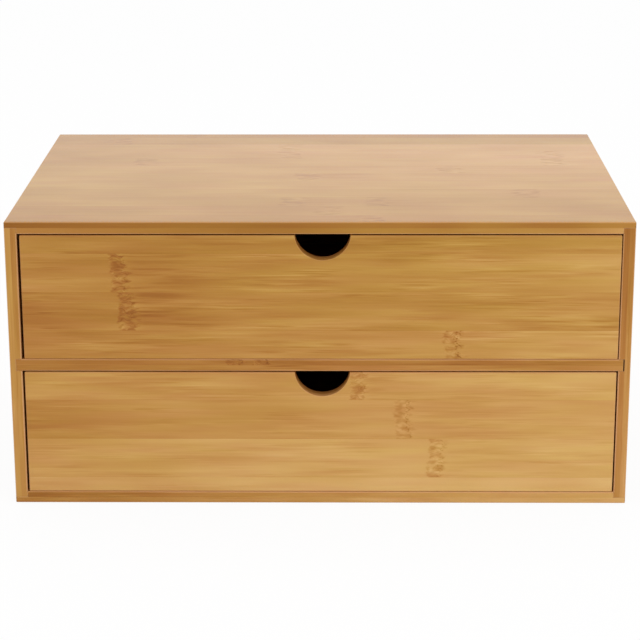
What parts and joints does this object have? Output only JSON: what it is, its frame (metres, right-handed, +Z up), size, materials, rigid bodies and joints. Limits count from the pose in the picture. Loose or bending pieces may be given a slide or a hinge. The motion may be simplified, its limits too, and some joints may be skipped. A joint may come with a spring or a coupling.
{
  "type": "desktop mini drawers",
  "caption": "Low desktop case of pressed bamboo boards holding full-width sliding drawers, one above the other, each with a half-round finger notch in its front.",
  "frame": {"origin": "middle of the footprint on the surface it stands on", "axes": "+Z up, +X to the right across the drawer fronts, -Y out of the fronts"},
  "size_m": [0.335, 0.232, 0.159],
  "materials": {
    "case_bamboo": "carbonised flat-pressed bamboo under satin clear lacquer, fine long grain with node marks",
    "front_bamboo": "carbonised flat-pressed bamboo under satin clear lacquer, grain across the front",
    "drawer_box_bamboo": "natural bamboo, sanded and thinly lacquered",
    "thin_board": "thin natural bamboo board, sanded",
    "steel_pins": "plain steel wire pins with small flat heads"
  },
  "bodies": {
    "case": {"top_panel": "case_bamboo", "bottom_panel": "case_bamboo", "left_side_panel": "case_bamboo", "right_side_panel": "case_bamboo", "middle_shelf": "case_bamboo", "back_panel": "thin_board", "back_panel_pins": "steel_pins"},
    "upper_drawer": {"upper_drawer_front": "front_bamboo", "upper_drawer_left_side": "drawer_box_bamboo", "upper_drawer_right_side": "drawer_box_bamboo", "upper_drawer_back": "drawer_box_bamboo", "upper_drawer_bottom": "thin_board", "upper_drawer_pins": "steel_pins"},
    "lower_drawer": {"lower_drawer_front": "front_bamboo", "lower_drawer_left_side": "drawer_box_bamboo", "lower_drawer_right_side": "drawer_box_bamboo", "lower_drawer_back": "drawer_box_bamboo", "lower_drawer_bottom": "thin_board", "lower_drawer_pins": "steel_pins"}
  },
  "joints": [
    {"name": "upper_drawer_slide", "type": "slide", "parent": "case", "child": "upper_drawer", "axis": [0, -1, 0], "range_m": [0, 0.2]},
    {"name": "lower_drawer_slide", "type": "slide", "parent": "case", "child": "lower_drawer", "axis": [0, -1, 0], "range_m": [0, 0.2]}
  ]
}
